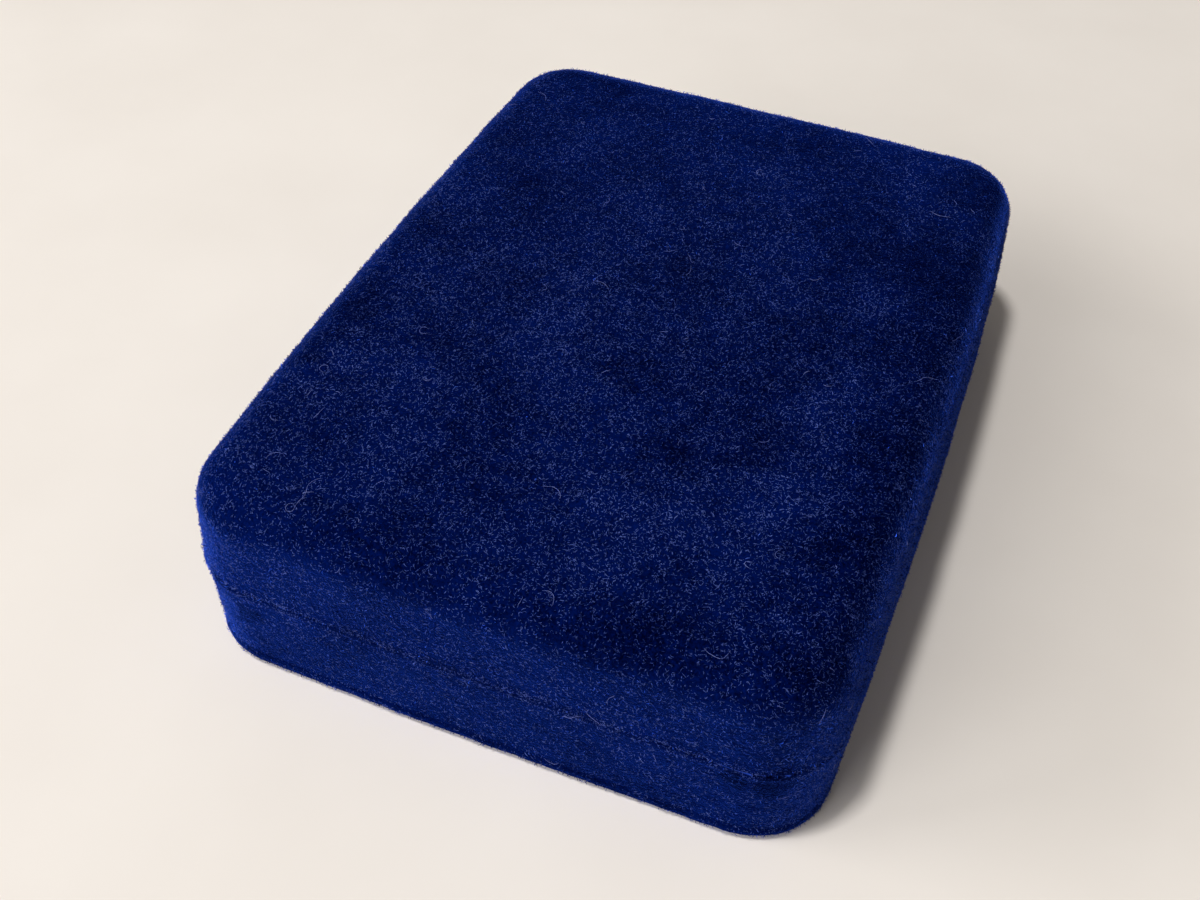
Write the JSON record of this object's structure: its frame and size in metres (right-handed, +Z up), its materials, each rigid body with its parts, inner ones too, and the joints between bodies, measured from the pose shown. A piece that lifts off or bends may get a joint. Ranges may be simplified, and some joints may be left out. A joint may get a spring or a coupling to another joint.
{
  "type": "drafting instrument case",
  "caption": "Small velvet-covered clamshell case with a knuckle hinge, an over-centre snap spring, a fitted tray for spring-bow instruments and a satin lid cushion.",
  "frame": {"origin": "middle of the footprint, on the surface the case rests on", "axes": "+Z up, +Y along the length towards the hinge, +X along the hinge; the lid is closed at rest"},
  "size_m": [0.077, 0.1019, 0.026],
  "materials": {
    "velvet": "deep blue pile velvet",
    "lining": "short blue pile lining",
    "satin": "ivory satin",
    "foam": "open-cell foam",
    "shell": "moulded, dark",
    "panel": "grained dark blue paper",
    "gilt": "gilt, polished",
    "hinge_metal": "gilt, satin",
    "spring_steel": "blank spring steel",
    "fibre": "pressed fibre",
    "card": "grey board"
  },
  "bodies": {
    "base": {"base_shell": "shell", "base_velvet": "velvet", "bottom_panel": "panel", "base_rim": "gilt", "tray_block": "fibre", "tray_velvet": "lining", "base_hinge_leaf": "hinge_metal", "base_hinge_rivets": "hinge_metal", "base_spring_pin": "spring_steel", "hinge_pin": "hinge_metal"},
    "lid": {"lid_shell": "shell", "lid_velvet": "velvet", "lid_rim": "gilt", "lid_board": "card", "lid_foam": "foam", "lid_satin": "satin", "lid_hinge_leaf": "hinge_metal", "lid_hinge_rivets": "hinge_metal", "lid_spring_pin": "spring_steel"},
    "spring": {"snap_spring": "spring_steel"}
  },
  "joints": [
    {"name": "lid_hinge", "type": "hinge", "parent": "base", "child": "lid", "pos_m": [0, 0.04935, 0.0135], "axis": [-1, 0, 0], "range_deg": [0, 100]},
    {"name": "spring_swing", "type": "hinge", "parent": "base", "child": "spring", "pos_m": [0, 0.04698, 0.00843], "axis": [-1, 0, 0], "range_deg": [0, 50]}
  ],
  "couplings": [
    {"joint": "spring_swing", "follows": "lid_hinge", "ratio": 0.5}
  ]
}
